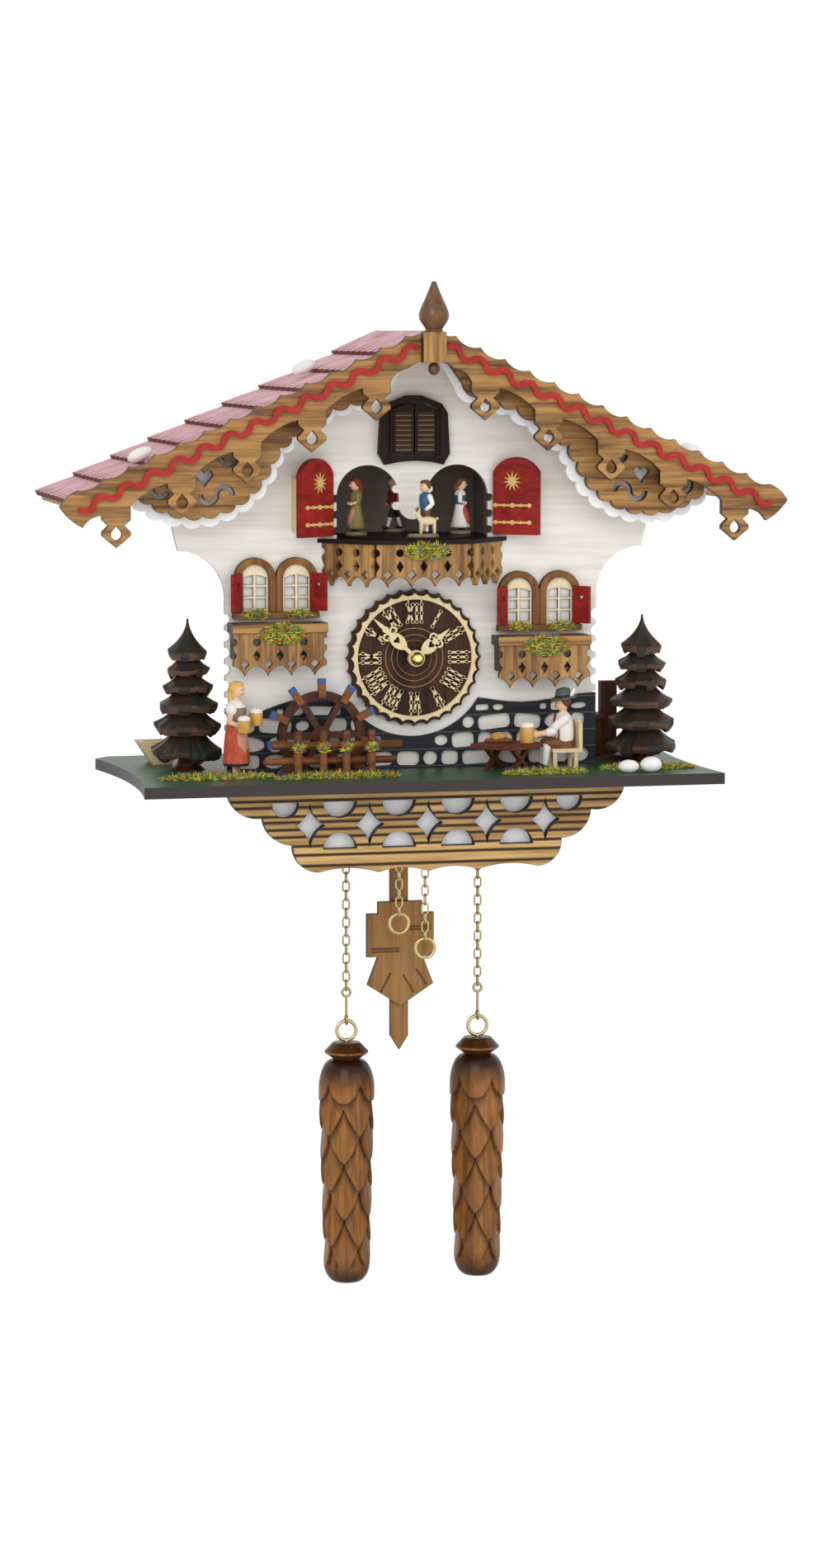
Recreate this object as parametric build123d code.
from build123d import *
import os
from math import atan2, cos, degrees, hypot, pi, radians, sin, sqrt, tan

# Chalet cuckoo clock that hangs on a wall. Millimetres, +Z up, the wall is the plane Y = 0 and the front looks
# along -Y. Heights are counted from the top of the base plate and depths from the wall while the pieces are
# made; each finished piece is then lowered so that the hanger hole in the back board is the origin.
HANGER_HEIGHT = 190.0
HANGER_HOLE_R = 4.0

# House box
HOUSE_HALF_WIDTH = 80.0
WALL_T = 5.0
BACK_T = 4.0
FACADE_FRONT = 92.0
FACADE_T = 4.0
FACADE_HALF_WIDTH = 102.0
ACCESS_SIZE = 76.0
ACCESS_CORNER_R = 6.0
COVE_R = 25.0
COVE_BOTTOM_Z = 93.0
EDGE_BITE_PITCH = 8.9
EDGE_BITE_R = 3.0
EDGE_BITE_DEPTH = 2.8

# Roof
ROOF_SLOPE = 24.5
ROOF_APEX_Z = 226.4
ROOF_T = 4.0
ROOF_HALF_SPAN = 186.0
ROOF_DEPTH = 132.0
SHINGLE_COURSES = 9
SHINGLE_T = 3.0
SHINGLE_THIN = 0.8
SHINGLE_LAP = 12.0
SHINGLES_PER_COURSE = 9
SHINGLE_SLOT_LENGTH = 8.0
SHINGLE_SLOT_WIDTH = 4.5

# Bargeboards, their pendants and the wavy trim
BARGE_T = 4.0
BARGE_RISE = 10.5
BARGE_HALF_SPAN = 186.0
BARGE_SCALLOPS = 14
BARGE_SCALLOP_SAG = 2.3
PENDANT_COUNT = 5
PENDANT_FIRST_X = 29.2
PENDANT_PITCH = 34.3
PENDANT_FIRST_TIP_Z = 187.0
PENDANT_HALF_WIDTH = 7.5
PENDANT_NECK_HALF = 4.2
PENDANT_HOLE_R = 2.9
TRIM_T = 2.4
TRIM_WIDTH = 2.9
TRIM_WAVES = 13
TRIM_AMPLITUDE = 2.0
TRIM_START_X = 8.4
TRIM_DROP = 7.9
BAND_SLOPE = 25.2
TRIM_LENGTH = 195.0

# Lace boards and the white boards behind them
LACE_BACK = 119.0
LACE_T = 4.0
LACE_BACKING_BACK = 113.0
LACE_BACKING_T = 3.0
LACE_CENTRE_X = 123.0
LACE_CENTRE_Z = 181.0
LACE_R = 43.0
LACE_BUMPS = 9
LACE_BUMP_SAG = 2.8
LACE_BACKING_SHOW = 4.6

# Finial
FINIAL_BLOCK_WIDTH = 12.3
FINIAL_BLOCK_DEPTH = 11.0
FINIAL_BLOCK_BOTTOM_Z = 217.0
FINIAL_BLOCK_HEIGHT = 16.0
FINIAL_HEIGHT = 26.0
FINIAL_BULB_R = 8.0

# Cuckoo frame, its doors and the bird
FRAME_T = 5.0
DOOR_HALF_WIDTH = 12.9
DOOR_BOTTOM_Z = 168.0
DOOR_SIDE_HEIGHT = 24.0
DOOR_ARCH_RISE = 3.4
DOOR_T = 1.8
DOOR_GAP = 0.3
DOOR_BARREL_R = 0.9
DOOR_PIN_R = 0.55
DOOR_SLATS = 8
KNUCKLE_LIFT = 1.4
KNUCKLE_HEIGHT = 1.9
BIRD_TRAVEL = 28.0
BIRD_REST_DEPTH = 68.0
BIRD_RAIL_GAP = 6.4
BIRD_RAIL_HEIGHT = 3.2
SHELF_T = 3.0
SHELF_HALF_WIDTH = 50.0
SHELF_BACK = 34.0
RUN_CLEARANCE = 0.05
SLIDE_CLEARANCE = 0.2

# Stage, turntable and balcony
ARCH_R = 17.0
ARCH_SPRING_Z = 145.5
ARCH_OUTER_X = 41.5
PILLAR_HALF = 7.4
PILLAR_BOTTOM_Z = 133.4
STAGE_FLOOR_Z = 123.6
FLOOR_T = 2.1
LINING_T = 3.0
BALCONY_HALF_BACK = 52.0
BALCONY_HALF_FRONT = 27.0
BALCONY_FRONT = 120.0
APRON_T = 3.0
APRON_SET_BACK = 1.2
APRON_PITCH = 12.6
APRON_HEIGHT = 22.6
APRON_POINT = 5.4
TURNTABLE_DEPTH = 82.0
TURNTABLE_R = 36.0
TURNTABLE_T = 0.9
TURNTABLE_GAP = 0.2
SPINDLE_R = 2.0
SPINDLE_LENGTH = 14.0
DANCER_RADIUS = 29.0
DANCER_BASE_R = 6.0
DANCER_BASE_T = 2.0
MOTOR_SIZE = 24.0
MOTOR_HEIGHT = 16.0

# Shutters beside the stage and at the windows
SHUTTER_WIDTH = 26.5
SHUTTER_HEIGHT = 41.5
SHUTTER_ARCH = 8.0
SHUTTER_T = 3.0
SHUTTER_OPEN = 37.0
SHUTTER_X = 45.4
SHUTTER_LIFT = 1.4
STRAP_T = 0.8
STRAP_REACH = 0.84
PROP_WIDTH = 7.4
PROP_HEIGHT = 28.0
WINDOW_SHUTTER_WIDTH = 11.0
WINDOW_SHUTTER_HEIGHT = 20.0
WINDOW_SHUTTER_T = 2.0
WINDOW_SHUTTER_OPEN = 54.0

# Double windows and flower boxes
WINDOW_LEFT = (-75.2, 82.0)
WINDOW_RIGHT = (69.4, 73.0)
LIGHT_PITCH = 22.6
LIGHT_OUTER_R = 11.2
LIGHT_INNER_R = 7.5
LIGHT_SPRING = 21.0
SILL_HEIGHT = 3.2
SILL_HALF = 23.2
WINDOW_T = 4.0
SASH_T = 2.0
MUNTIN = 1.3
BOX_POINTS = 4
BOX_DEPTH = 15.0
BOX_RAIL_HEIGHT = 5.0
BOX_RAIL_OVERHANG = 0.6
BOX_BOARD_T = 3.0
BOX_DROP = 2.2

# Dial and hands
DIAL_Z = 59.6
DIAL_R = 37.0
DIAL_T = 4.0
DIAL_SCALLOPS = 32
RING_R = 34.8
RING_INNER_R = 31.3
RING_T = 2.0
BUSH_R = 4.6
HOUR_PIPE_R = 2.6
ARBOR_R = 1.25
HOUR_HAND_LENGTH = 24.5
HOUR_HAND_ANGLE = 50.3
MINUTE_HAND_LENGTH = 33.0
MINUTE_HAND_ANGLE = -47.4
HAND_T = 1.2
HAND_GAP = 1.0
NUT_R = 3.6
MOVEMENT_SIZE = 56.0
MOVEMENT_T = 22.0
KNOB_X = 14.0
KNOB_Z = 72.0
KNOB_R = 7.0

# Stone cladding and mill wheel
CLADDING_T = 2.0
CLADDING_BITE_R = 42.5
STONE_ROWS = ((5.2, 7.6), (14.6, 8.2), (24.0, 7.8), (31.8, 4.8))
STONE_WIDTHS = (15.0, 9.5, 12.5, 18.0, 8.0)
STONE_SEAM = 2.0
WHEEL_X = -52.2
WHEEL_Z = 19.7
WHEEL_RIM_R = 23.6
WHEEL_RIM_WIDTH = 4.6
WHEEL_BACK = 100.0
WHEEL_T = 4.0
WHEEL_HUB_R = 5.0
WHEEL_SPOKES = 6
PADDLE_COUNT = 11
PADDLE_TIP_R = 30.3
PADDLE_ROOT_R = 20.6
PADDLE_WIDTH = 3.8
PADDLE_TURN = 25.5
PADDLE_T = 4.0
AXLE_R = 1.5

# Base plate and bracket
PLATE_T = 6.0
PLATE_HALF_FRONT = 156.0
PLATE_HALF_MIDDLE = 152.0
PLATE_HALF_BACK = 160.0
PLATE_FRONT = 155.0
BRACKET_FRONT = 130.0
BRACKET_T = 6.0
BRACKET_BACKING_T = 3.0
BRACKET_PITCH = 32.0
BRACKET_Z = -25.3

# Pendulum
PENDULUM_PIVOT_Z = 40.0
PENDULUM_DEPTH = 58.0
PENDULUM_T = 3.0
PENDULUM_ROD_WIDTH = 10.0
PENDULUM_TIP_Z = -160.0
PENDULUM_PIN_R = 1.5
PENDULUM_SWING = 6.0
PENDULUM_LEAF_T = 3.0
GROOVE_WIDTH = 0.8
GROOVE_DEPTH = 0.7

# Chains and weights
CHAIN_DEPTH = 91.0
CHAIN_WIRE = 0.9
CHAIN_LINK_LENGTH = 6.8
CHAIN_LINK_WIDTH = 4.4
CHAIN_SLACK = 0.1
WEIGHT_STAPLE_Z = -13.0
WEIGHT_CHAIN_X = 36.5
RING_CHAIN_X = 7.2
WEIGHT_LINKS = (22, 22)
RING_LINKS = (14, 16)
RING_STAPLE_Z = (-12.6, -16.7)
RING_WIRE = 1.8
RING_OUTER_R = 6.2
HOOK_LENGTH = 19.4
HOOK_WIRE = 1.4
EYE_R = 5.3
EYE_WIRE = 1.9
CONE_LENGTH = 132.0
CONE_BODY_R = 15.4
CONE_SIDES = 10

# Yard
FENCE_DEPTH = 120.0
FENCE_POSTS = (-69.2, -55.6, -43.2, -29.6)
FENCE_HEIGHT = 24.3
TREE_LEFT = (-119.5, 76.0)
TREE_RIGHT = (128.0, 92.0)
TREE_SIDES = 11
BARMAID_SPOT = (-95.0, 106.0)
TABLE_SPOT = (46.5, 115.0)
TABLE_SIZE = 28.0
TABLE_TOP_Z = 14.5
CHAIR_SPOT = (79.0, 112.0)
SEAT_Z = 11.0
ELBOW = (70.5, 118.5, 20.5)
ELBOW_PIN_R = 0.8

slope = radians(ROOF_SLOPE)
rise = tan(slope)
band_rise = tan(radians(BAND_SLOPE))
facade_back = FACADE_FRONT - FACADE_T
link_inner = CHAIN_LINK_LENGTH - 2 * CHAIN_WIRE
link_pitch = link_inner - CHAIN_SLACK
floor_bottom = STAGE_FLOOR_Z - FLOOR_T
shelf_z = ARCH_SPRING_Z + ARCH_R + 1.5


def board(face, back, thickness):
    """A flat board parallel to the wall: the face drawn in X and Z, from a depth towards the front."""
    return extrude(Plane.XZ.offset(back) * face, amount=thickness, dir=(0, -1, 0))


def slab(face, bottom, thickness):
    """A flat slab parallel to the floor: the face drawn in X and Y, from a height upwards."""
    return extrude(Pos(0, 0, bottom) * face, amount=thickness, dir=(0, 0, 1))


def outline(edges):
    """A face inside closed edges, its normal always to the same side."""
    face = make_face(edges).faces()[0]
    return Sketch() + (face if face.normal_at().Z > 0 else -face)


def polygon(*points):
    """A closed straight-sided face."""
    return outline(Polyline(*points, close=True))


def bulged(start, end, sag):
    """An arc between two points whose middle stands off the chord, to the left for a positive sag."""
    dx, dz = end[0] - start[0], end[1] - start[1]
    length = hypot(dx, dz)
    middle = ((start[0] + end[0]) / 2 - dz / length * sag, (start[1] + end[1]) / 2 + dx / length * sag)
    return ThreePointArc(start, middle, end)


def arc_chain(points, sag):
    """Arcs of one sag along a row of points."""
    return [bulged(a, b, sag) for a, b in zip(points, points[1:])]


def path(*points):
    """Straight edges along a row of points."""
    return [Line(a, b) for a, b in zip(points, points[1:])]


def block(x0, x1, depth0, depth1, z0, z1):
    """A box between two planes in X, in depth and in height."""
    return Pos((x0 + x1) / 2, -(depth0 + depth1) / 2, (z0 + z1) / 2) * Box(x1 - x0, depth1 - depth0, z1 - z0)


def rod(start, end, radius, end_radius=None):
    """A round bar, or a taper, between two points."""
    line = Vector(*end) - Vector(*start)
    plane = Plane(origin=start, z_dir=line)
    if end_radius is None or end_radius == radius:
        return Solid.make_cylinder(radius, line.length, plane)
    return Solid.make_cone(radius, end_radius, line.length, plane)


def pin_y(x, z, depth0, depth1, radius):
    """A round bar square to the wall, between two depths."""
    return rod((x, -depth0, z), (x, -depth1, z), radius)


def turned(*points):
    """A turned form about the Z axis from (radius, height) points."""
    return revolve(Plane.XZ * polygon(*points), Axis.Z)


def ball(x, depth, z, radius):
    """A sphere at a place."""
    return Pos(x, -depth, z) * Sphere(radius)


def mirrored(shape):
    """The same piece on the other side of the middle plane."""
    return mirror(shape, about=Plane.YZ)


def fused(*shapes):
    """One solid out of pieces that meet."""
    return shapes[0].fuse(*shapes[1:]) if len(shapes) > 1 else shapes[0]


def roof_z(x):
    """Height of the roof boards' underside."""
    return ROOF_APEX_Z - rise * abs(x)


def scalloped_disc(radius, count, sag):
    """A disc whose rim is a ring of hollow arcs between outward points."""
    points = [(radius * sin(2 * pi * k / count), radius * cos(2 * pi * k / count)) for k in range(count + 1)]
    return outline(arc_chain(points, -sag))


# House box

def back_board():
    """Back board with the hanger hole and an opening to reach the movement."""
    half = HOUSE_HALF_WIDTH
    face = polygon((-half, 0), (half, 0), (half, roof_z(half)), (0, ROOF_APEX_Z), (-half, roof_z(half)))
    face -= Pos(0, HANGER_HEIGHT) * Circle(HANGER_HOLE_R)
    face -= Pos(0, DIAL_Z) * RectangleRounded(ACCESS_SIZE, ACCESS_SIZE, ACCESS_CORNER_R)
    return board(face, 0, BACK_T)


def side_walls():
    """The two side walls, bevelled at the top to the roof."""
    outer = HOUSE_HALF_WIDTH
    inner = outer - WALL_T
    face = polygon((inner, 0), (outer, 0), (outer, roof_z(outer)), (inner, roof_z(inner)))
    wall = board(face, BACK_T, facade_back - BACK_T)
    return [wall, mirrored(wall)]


def stage_opening():
    """Two arches that share a low passage under a hanging pillar, with round notches at their sides."""
    arch_x = ARCH_OUTER_X - ARCH_R
    width = ARCH_OUTER_X - PILLAR_HALF
    middle = (ARCH_OUTER_X + PILLAR_HALF) / 2
    low = floor_bottom
    pillar_round_z = PILLAR_BOTTOM_Z + PILLAR_HALF
    face = Pos(0, (low + pillar_round_z) / 2) * Rectangle(2 * ARCH_OUTER_X, pillar_round_z - low)
    for side in (-1, 1):
        face += Pos(side * middle, (low + ARCH_SPRING_Z) / 2) * Rectangle(width, ARCH_SPRING_Z - low)
        face += Pos(side * arch_x, ARCH_SPRING_Z) * Circle(ARCH_R)
        for z in (127.6, 136.2, 144.8):
            face += Pos(side * ARCH_OUTER_X, z) * SlotOverall(6.0, 4.2)
    face -= Pos(0, pillar_round_z) * Circle(PILLAR_HALF)
    for side in (-1, 1):
        for z in (140.6, 149.6):
            face -= Pos(side * PILLAR_HALF, z) * SlotOverall(7.4, 4.2)
    return face


def door_opening(half, gap):
    """The cuckoo doorway: straight sides and a low arch."""
    low = DOOR_BOTTOM_Z - gap
    side = DOOR_BOTTOM_Z + DOOR_SIDE_HEIGHT + gap
    return outline(
        path((-half, side), (-half, low), (half, low), (half, side))
        + [ThreePointArc((half, side), (0, side + DOOR_ARCH_RISE), (-half, side))]
    )


def facade():
    """White front board: coved shoulders, bitten edges, the stage arches and the doorway."""
    half = FACADE_HALF_WIDTH
    shoulder = half + COVE_R
    top = COVE_BOTTOM_Z + COVE_R
    eave = shoulder + 5
    cove = COVE_R * (1 - sqrt(0.5))
    right = path((-half, 0), (half, 0), (half, COVE_BOTTOM_Z))
    right += [ThreePointArc((half, COVE_BOTTOM_Z), (half + cove, top - cove), (shoulder, top))]
    right += path((shoulder, top), (eave, top + 20), (eave, roof_z(eave)), (0, ROOF_APEX_Z))
    right += path((0, ROOF_APEX_Z), (-eave, roof_z(eave)))
    right += path((-eave, roof_z(eave)), (-eave, top + 20), (-shoulder, top))
    right += [ThreePointArc((-shoulder, top), (-half - cove, top - cove), (-half, COVE_BOTTOM_Z))]
    right += path((-half, COVE_BOTTOM_Z), (-half, 0))
    face = outline(right)
    bites = int((COVE_BOTTOM_Z - 8) / EDGE_BITE_PITCH)
    for k in range(bites):
        for side in (-1, 1):
            x = side * (half + EDGE_BITE_R - EDGE_BITE_DEPTH)
            face -= Pos(x, 10 + k * EDGE_BITE_PITCH) * Circle(EDGE_BITE_R)
    face -= stage_opening()
    face -= door_opening(DOOR_HALF_WIDTH + 0.6, 0)
    face -= Pos(0, DIAL_Z) * Circle(BUSH_R + RUN_CLEARANCE)
    face -= Pos(WHEEL_X, WHEEL_Z) * Circle(AXLE_R + 0.6)
    return board(face, facade_back, FACADE_T)


def base_plate():
    """Green plate with hollowed sides, a slot for the mill wheel and one for the pendulum."""
    front = -PLATE_FRONT
    middle = front * 0.55
    right = ThreePointArc((PLATE_HALF_FRONT, front), (PLATE_HALF_MIDDLE, middle), (PLATE_HALF_BACK, -10))
    left = ThreePointArc((-PLATE_HALF_BACK, -10), (-PLATE_HALF_MIDDLE, middle), (-PLATE_HALF_FRONT, front))
    edges = path((-PLATE_HALF_FRONT, front), (PLATE_HALF_FRONT, front)) + [right]
    edges += path((PLATE_HALF_BACK, -10), (PLATE_HALF_BACK - 8, 0), (-PLATE_HALF_BACK + 8, 0))
    edges += path((-PLATE_HALF_BACK + 8, 0), (-PLATE_HALF_BACK, -10)) + [left]
    face = outline(edges)
    wheel_middle = WHEEL_BACK + (WHEEL_T + PADDLE_T) / 2
    face -= Pos(WHEEL_X, -wheel_middle) * SlotOverall(2 * PADDLE_TIP_R + 4, WHEEL_T + PADDLE_T + 4)
    swing = (PENDULUM_PIVOT_Z + PLATE_T) * tan(radians(PENDULUM_SWING))
    face -= Pos(0, -PENDULUM_DEPTH) * Rectangle(PENDULUM_ROD_WIDTH + 2 * swing + 4, PENDULUM_T + 6)
    return slab(face, -PLATE_T, PLATE_T)


# Roof

def roof_boards():
    """The two boards under the shingles, mitred at the ridge."""
    x = ROOF_HALF_SPAN
    lift = ROOF_T / cos(slope)
    face = polygon(
        (0, ROOF_APEX_Z),
        (x, roof_z(x)),
        (x + ROOF_T * sin(slope), roof_z(x) + ROOF_T * cos(slope)),
        (0, ROOF_APEX_Z + lift),
    )
    right = board(face, 0, ROOF_DEPTH)
    return [right, mirrored(right)]


def shingles():
    """Tapered shingle courses of one slope, each lapped over the next and slotted at its lower edge."""
    down = (cos(slope), 0, -sin(slope))
    apex = (0, 0, ROOF_APEX_Z)
    section = Plane(origin=apex, x_dir=down, z_dir=(0, -1, 0))
    flat = Plane(origin=apex, x_dir=down, z_dir=(sin(slope), 0, cos(slope)))
    exposure = ROOF_HALF_SPAN / cos(slope) / SHINGLE_COURSES
    tile = ROOF_DEPTH / SHINGLES_PER_COURSE
    low = ROOF_T
    thin = ROOF_T + SHINGLE_THIN
    thick = ROOF_T + SHINGLE_T
    right_half = Pos(500, 0, 0) * Box(1000, 1000, 1000)
    courses = []
    for k in range(SHINGLE_COURSES):
        top = k * exposure
        end = top + exposure + 2
        next_lap = end - SHINGLE_LAP
        lap = top + 2 - SHINGLE_LAP if k else -8
        flat_end = top + 2 if k else -8
        under = [(lap, low), (next_lap, low), (next_lap, thin), (end, thin)]
        if k == SHINGLE_COURSES - 1:
            under = [(lap, low), (end, low)]
        over = [(end, thick), (flat_end, thin if k else thick - 0.6)]
        if k:
            over.append((lap, thin))
        course = extrude(section * polygon(*under, *over), amount=ROOF_DEPTH)
        if k == 0:
            course = course & right_half
        cutters = []
        for j in range(SHINGLES_PER_COURSE + 1):
            y = -j * tile
            notch = polygon(
                (end + 1, y - SHINGLE_SLOT_WIDTH / 2),
                (end - SHINGLE_SLOT_LENGTH, y),
                (end + 1, y + SHINGLE_SLOT_WIDTH / 2),
            )
            cutters.append(extrude(flat.offset(low - 1) * notch, amount=SHINGLE_T + 3))
        courses.append(course - cutters)
    return courses


def pendant_tip(k):
    """Lowest point of a pendant, counted from the ridge."""
    return PENDANT_FIRST_X + k * PENDANT_PITCH, PENDANT_FIRST_TIP_Z - k * PENDANT_PITCH * band_rise


def bargeboard():
    """Right bargeboard: hollow scallops above, scooped edge and pierced pendants below."""
    apex = ROOF_APEX_Z + BARGE_RISE
    step = BARGE_HALF_SPAN / BARGE_SCALLOPS
    crest = [(k * step, apex - k * step * rise) for k in range(BARGE_SCALLOPS + 1)]
    tail_x, tail_z = crest[-1]
    edges = arc_chain(crest, -BARGE_SCALLOP_SAG)
    tip = (tail_x + 9.6, tail_z - 8.5)
    last = (tail_x - 2.2, tail_z - 19.2)
    edges.append(bulged((tail_x, tail_z), tip, 1.2))
    edges.append(bulged(tip, last, 1.0))
    half = PENDANT_HALF_WIDTH
    neck = PENDANT_NECK_HALF
    for k in reversed(range(PENDANT_COUNT)):
        x, z = pendant_tip(k)
        edges.append(bulged(last, (x + half, z + 16.6), -1.6))
        edges += path(
            (x + half, z + 16.6), (x + half, z + 14.3), (x + neck, z + 11.5), (x + half, z + 8.2),
            (x + half, z + 6.2), (x, z), (x - half, z + 6.2), (x - half, z + 8.2),
            (x - neck, z + 11.5), (x - half, z + 14.3), (x - half, z + 20 if k == 0 else z + 21.5),
        )
        last = (x - half, z + 20 if k == 0 else z + 21.5)
    x, z = pendant_tip(0)
    edges.append(bulged(last, (x - 17, z + 27), -1.6))
    edges.append(bulged((x - 17, z + 27), (0, z + 31), -1.4))
    edges += path((0, z + 31), crest[0])
    face = outline(edges)
    for k in range(PENDANT_COUNT):
        x, z = pendant_tip(k)
        drop = Circle(PENDANT_HOLE_R) + polygon((-2.4, 1.6), (2.4, 1.6), (0, 4.4))
        face -= Pos(x, z + 6.9) * drop
    return board(face, ROOF_DEPTH, BARGE_T)


def wavy_trim():
    """Right wavy band: tangent arcs to and fro along the slope, with round ends."""
    halves = 2 * TRIM_WAVES
    chord = TRIM_LENGTH / halves
    radius = (chord ** 2 / 4 + TRIM_AMPLITUDE ** 2) / (2 * TRIM_AMPLITUDE)
    lean = degrees(atan2(chord / 2, radius - TRIM_AMPLITUDE))
    w = TRIM_WIDTH / 2

    def offset_point(k, side):
        """Edge point where two arcs meet, square to the band."""
        tilt = radians(lean if k % 2 == 0 else -lean)
        return k * chord - side * w * sin(tilt), side * w * cos(tilt)

    def edge(side, order):
        """Arcs along one edge of the band."""
        arcs = []
        for k in order:
            crown = TRIM_AMPLITUDE if k % 2 == 0 else -TRIM_AMPLITUDE
            ends = (k, k + 1) if side > 0 else (k + 1, k)
            middle = ((k + 0.5) * chord, crown + side * w)
            arcs.append(ThreePointArc(offset_point(ends[0], side), middle, offset_point(ends[1], side)))
        return arcs

    tilt = radians(lean)
    start_cap = ThreePointArc(offset_point(0, -1), (-w * cos(tilt), -w * sin(tilt)), offset_point(0, 1))
    end_tip = (TRIM_LENGTH + w * cos(tilt), w * sin(tilt))
    end_cap = ThreePointArc(offset_point(halves, 1), end_tip, offset_point(halves, -1))
    face = outline(edge(1, range(halves)) + [end_cap] + edge(-1, reversed(range(halves))) + [start_cap])
    start_z = ROOF_APEX_Z + BARGE_RISE - TRIM_DROP - TRIM_START_X * band_rise
    placed = Pos(TRIM_START_X, start_z) * Rot(0, 0, -BAND_SLOPE) * face
    return board(placed, ROOF_DEPTH + BARGE_T, TRIM_T)


def lace_face(show, shift_x):
    """Right lace outline: a draped row of bumps, then steps up to the ridge, under the roof line."""
    radius = LACE_R + show
    first, last = radians(-46), radians(-157)
    drape = []
    for k in range(LACE_BUMPS + 1):
        angle = first + (last - first) * k / LACE_BUMPS
        drape.append((LACE_CENTRE_X + radius * cos(angle), LACE_CENTRE_Z + radius * sin(angle)))
    steps = [(78.5, 173.3), (71.7, 178.5), (60.0, 186.5), (49.8, 193.5)]
    steps += [(40.2, 196.2), (30.9, 198.5), (20.0, 206.0)]
    steps = [(x - shift_x, z - show * 0.6) for x, z in steps]
    row = drape + steps
    start = (row[0][0] + 2.0, roof_z(row[0][0] + 2.0))
    end = (steps[-1][0] - 12.0, roof_z(steps[-1][0] - 12.0))
    edges = path(start, row[0])
    edges += arc_chain(row, LACE_BUMP_SAG)
    edges += path(row[-1], end, start)
    return outline(edges)


def heart(width):
    """A heart of a given width, point down."""
    r = width / 4
    lobes = Pos(-r, 0) * Circle(r * 1.04) + Pos(r, 0) * Circle(r * 1.04)
    return lobes + polygon((-1.98 * r, -0.35 * r), (0, -2.9 * r), (1.98 * r, -0.35 * r), (0, 0.4 * r))


def crescent(radius, stroke):
    """A half ring, open at the top."""
    ring = Circle(radius + stroke / 2) - Circle(radius - stroke / 2)
    return ring - Pos(0, radius) * Rectangle(4 * radius, 2 * radius)


def gable_lace():
    """Brown lace boards with heart, wave and crescent cut-outs."""
    face = lace_face(0, 0)
    face -= Pos(118.0, 159.2) * heart(8.6)
    face -= Pos(141.4, 151.8) * Rot(0, 0, 20) * crescent(4.2, 2.5)
    face -= Pos(105.6, 168.6) * Rot(0, 0, -10) * crescent(4.0, 2.5)
    face -= Pos(107.6, 148.6) * Rot(0, 0, 180) * crescent(4.2, 2.5)
    face -= Pos(116.0, 148.6) * crescent(4.2, 2.5)
    right = board(face, LACE_BACK, LACE_T)
    return [right, mirrored(right)]


def gable_backing():
    """White boards that show below the lace."""
    right = board(lace_face(LACE_BACKING_SHOW, 2.6), LACE_BACKING_BACK, LACE_BACKING_T)
    return [right, mirrored(right)]


def finial():
    """Chamfered block on the bargeboards' joint, the turned bulb on top and the bead below."""
    back = ROOF_DEPTH + BARGE_T
    middle = back + FINIAL_BLOCK_DEPTH / 2
    body = block(-FINIAL_BLOCK_WIDTH / 2, FINIAL_BLOCK_WIDTH / 2, back, back + FINIAL_BLOCK_DEPTH,
                 FINIAL_BLOCK_BOTTOM_Z, FINIAL_BLOCK_BOTTOM_Z + FINIAL_BLOCK_HEIGHT)
    body = chamfer(body.edges().filter_by(Axis.Z), 2.6)
    top = FINIAL_BLOCK_BOTTOM_Z + FINIAL_BLOCK_HEIGHT
    bulb_z = FINIAL_HEIGHT * 0.4
    profile = outline(
        path((0, FINIAL_HEIGHT), (0, 0), (3.4, 0), (3.4, 1.6))
        + [ThreePointArc((3.4, 1.6), (FINIAL_BULB_R - 1.4, bulb_z - 4.4), (FINIAL_BULB_R, bulb_z)),
           ThreePointArc((FINIAL_BULB_R, bulb_z), (FINIAL_BULB_R - 2.6, bulb_z + 5.4), (1.6, FINIAL_HEIGHT - 2))]
        + path((1.6, FINIAL_HEIGHT - 2), (1.2, FINIAL_HEIGHT), (0, FINIAL_HEIGHT))
    )
    bulb = Pos(0, -middle, top) * revolve(Plane.XZ * profile, Axis.Z)
    bead_profile = outline(
        [ThreePointArc((1.6, 0), (3.0, -3.4), (0.5, -6.4))] + path((0.5, -6.4), (0, -6.4), (0, 0), (1.6, 0))
    )
    bead = Pos(0, -middle, FINIAL_BLOCK_BOTTOM_Z) * revolve(Plane.XZ * bead_profile, Axis.Z)
    return [body, bulb, bead]


# Cuckoo frame, doors and bird

def hinge_depth():
    """Depth of the doors' hinge axes: the frame's front face."""
    return FACADE_FRONT + FRAME_T


def cuckoo_frame():
    """Dark shield round the doorway, with four knuckles for the door pins."""
    low = DOOR_BOTTOM_Z - 5.4
    high = DOOR_BOTTOM_Z + DOOR_SIDE_HEIGHT
    edges = path((-16, low), (-19.4, low + 6), (-18.2, high - 2), (-15, high + 3), (-4, high + 7.4), (4, high + 7.4))
    edges += path((4, high + 7.4), (15, high + 3), (18.2, high - 2), (19.4, low + 6), (16, low))
    edges.append(bulged((16, low), (-16, low), -2.0))
    face = outline(edges) - door_opening(DOOR_HALF_WIDTH + DOOR_BARREL_R + 0.25, DOOR_GAP)
    body = board(face, FACADE_FRONT, FRAME_T)
    axis = hinge_depth()
    knuckle_top = DOOR_BOTTOM_Z + DOOR_SIDE_HEIGHT + KNUCKLE_LIFT
    for side in (-1, 1):
        x = side * DOOR_HALF_WIDTH
        lower = (DOOR_BOTTOM_Z - 2.2, DOOR_BOTTOM_Z - DOOR_GAP)
        upper = (knuckle_top, knuckle_top + KNUCKLE_HEIGHT)
        for z0, z1 in (lower, upper):
            body += block(x - 1.5, x + 1.5, axis - 2.2, axis + 1.5, z0, z1)
            body -= rod((x, -axis, z0 - 1), (x, -axis, z1 + 1), DOOR_PIN_R + RUN_CLEARANCE)
    return body


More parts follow.
